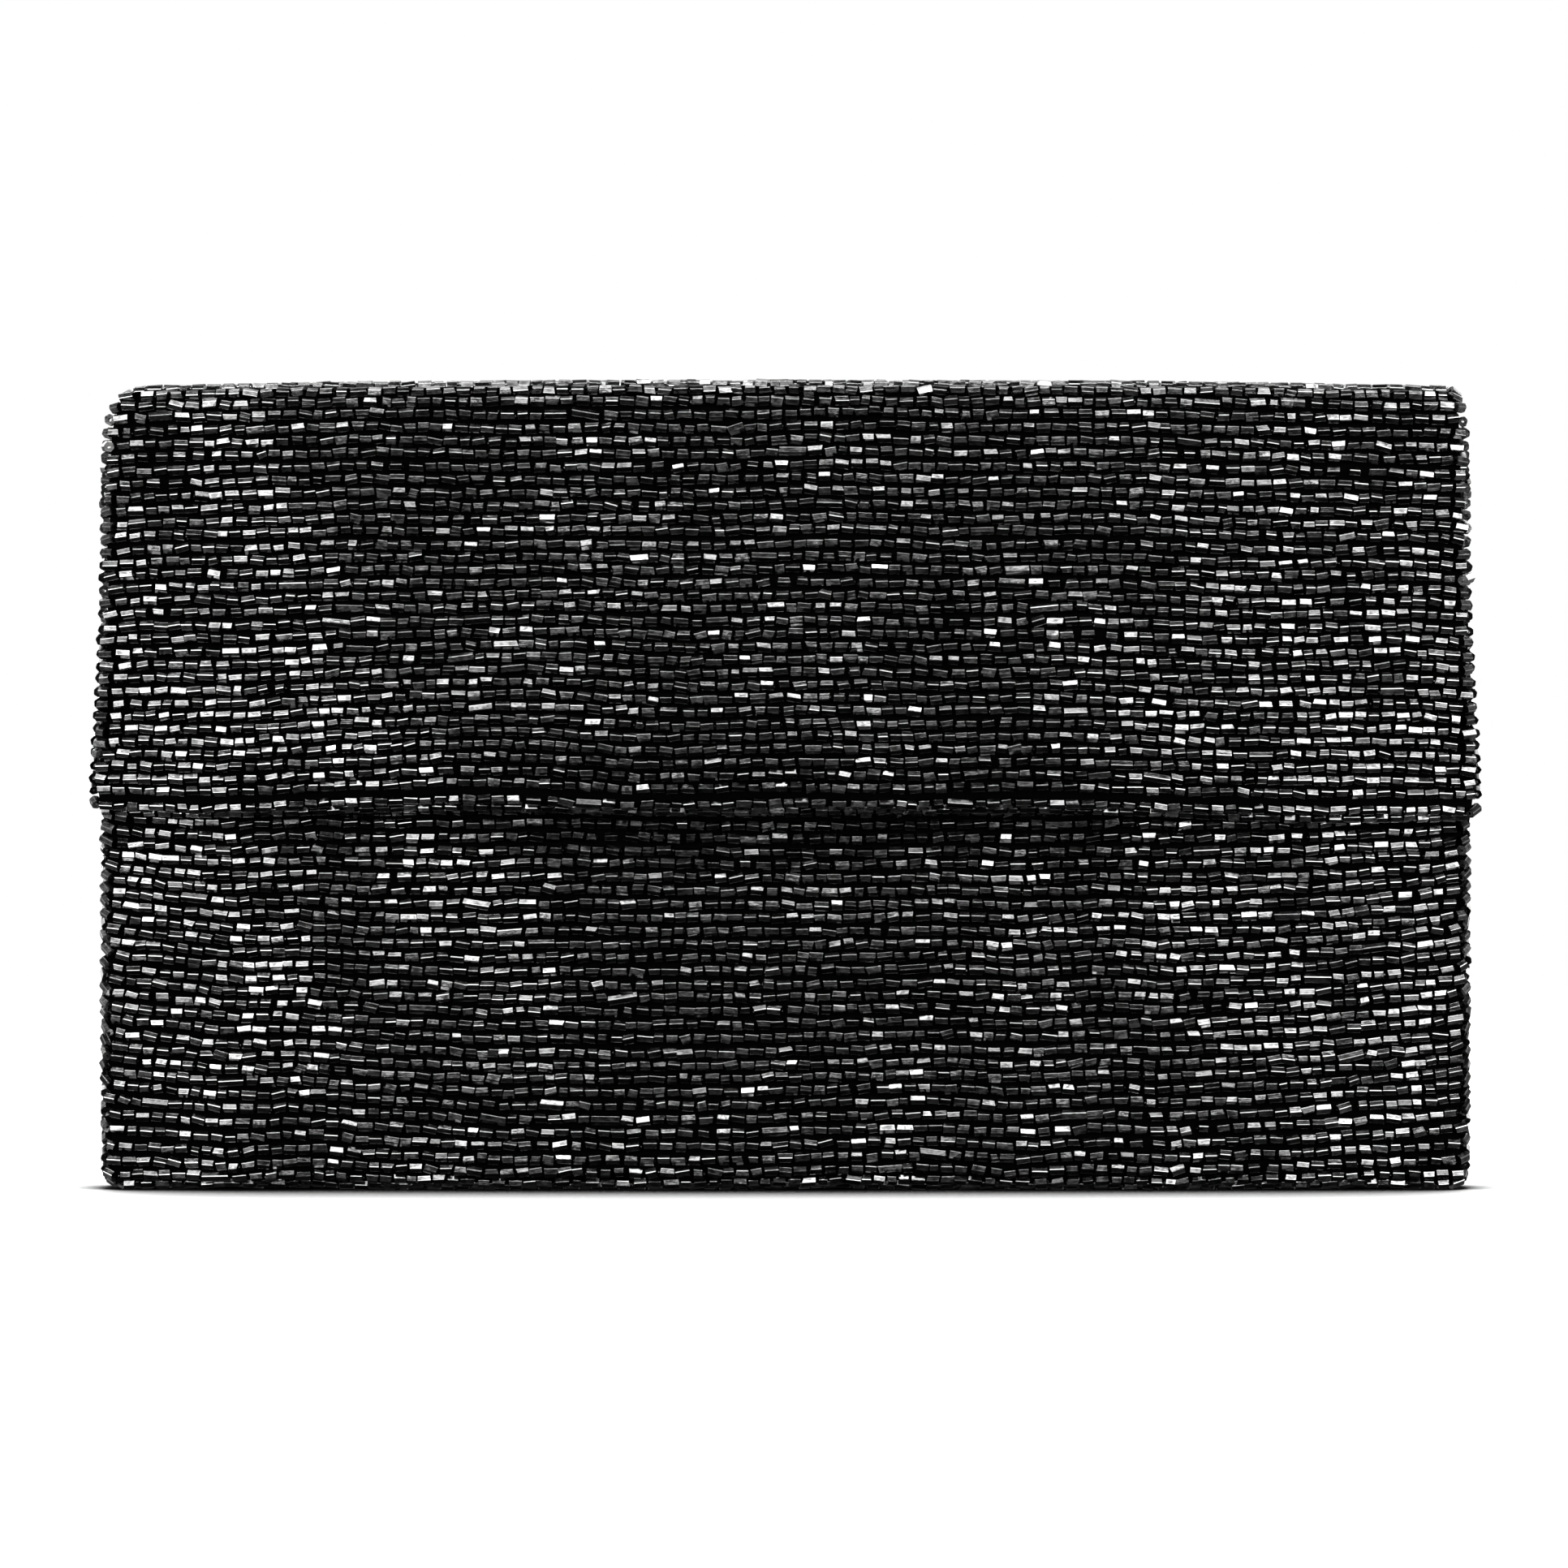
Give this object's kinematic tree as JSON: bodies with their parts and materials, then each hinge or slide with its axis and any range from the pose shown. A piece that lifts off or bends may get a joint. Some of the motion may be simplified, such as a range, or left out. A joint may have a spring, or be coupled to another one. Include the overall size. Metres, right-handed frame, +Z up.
{
  "type": "clutch purse",
  "caption": "Beaded evening clutch with a fold-over flap on a magnetic snap, stiffened walls and a satin lining with a slip pocket.",
  "frame": {"origin": "middle of the clutch's plan, on the surface it stands on", "axes": "+Z up, +X along the width to the right seen from the front, -Y out of the front that the flap covers"},
  "size_m": [0.263, 0.0298, 0.1528],
  "materials": {
    "beaded_cloth": "black ground cloth covered with gunmetal cut-glass beads, bright facets",
    "wadding": "soft grey felted wadding",
    "board": "grey stiffener board",
    "satin": "black satin",
    "snap_metal": "dark nickel plate",
    "magnet": "matt ferrite"
  },
  "bodies": {
    "body": {"front_beaded_panel": "beaded_cloth", "back_beaded_panel": "beaded_cloth", "front_wadding": "wadding", "back_wadding": "wadding", "front_stiffener": "board", "back_stiffener": "board", "front_lining": "satin", "back_lining": "satin", "slip_pocket": "satin", "mouth_binding": "satin", "socket_base": "snap_metal", "socket_magnet": "magnet", "socket_cap": "snap_metal", "socket_washer": "snap_metal"},
    "spine": {"spine_beaded_strip": "beaded_cloth", "spine_lining": "satin"},
    "flap": {"flap_beaded_panel": "beaded_cloth", "flap_wadding": "wadding", "flap_stiffener": "board", "flap_facing": "satin", "stud_base": "snap_metal", "stud_washer": "snap_metal"}
  },
  "joints": [
    {"name": "spine_fold", "type": "hinge", "parent": "body", "child": "spine", "pos_m": [0, 0.00887, 0.15021], "axis": [-1, 0, 0], "range_deg": [0, 90]},
    {"name": "flap_fold", "type": "hinge", "parent": "spine", "child": "flap", "pos_m": [0, -0.00699, 0.15021], "axis": [-1, 0, 0], "range_deg": [0, 90]}
  ],
  "couplings": [
    {"joint": "flap_fold", "follows": "spine_fold", "ratio": 1}
  ]
}
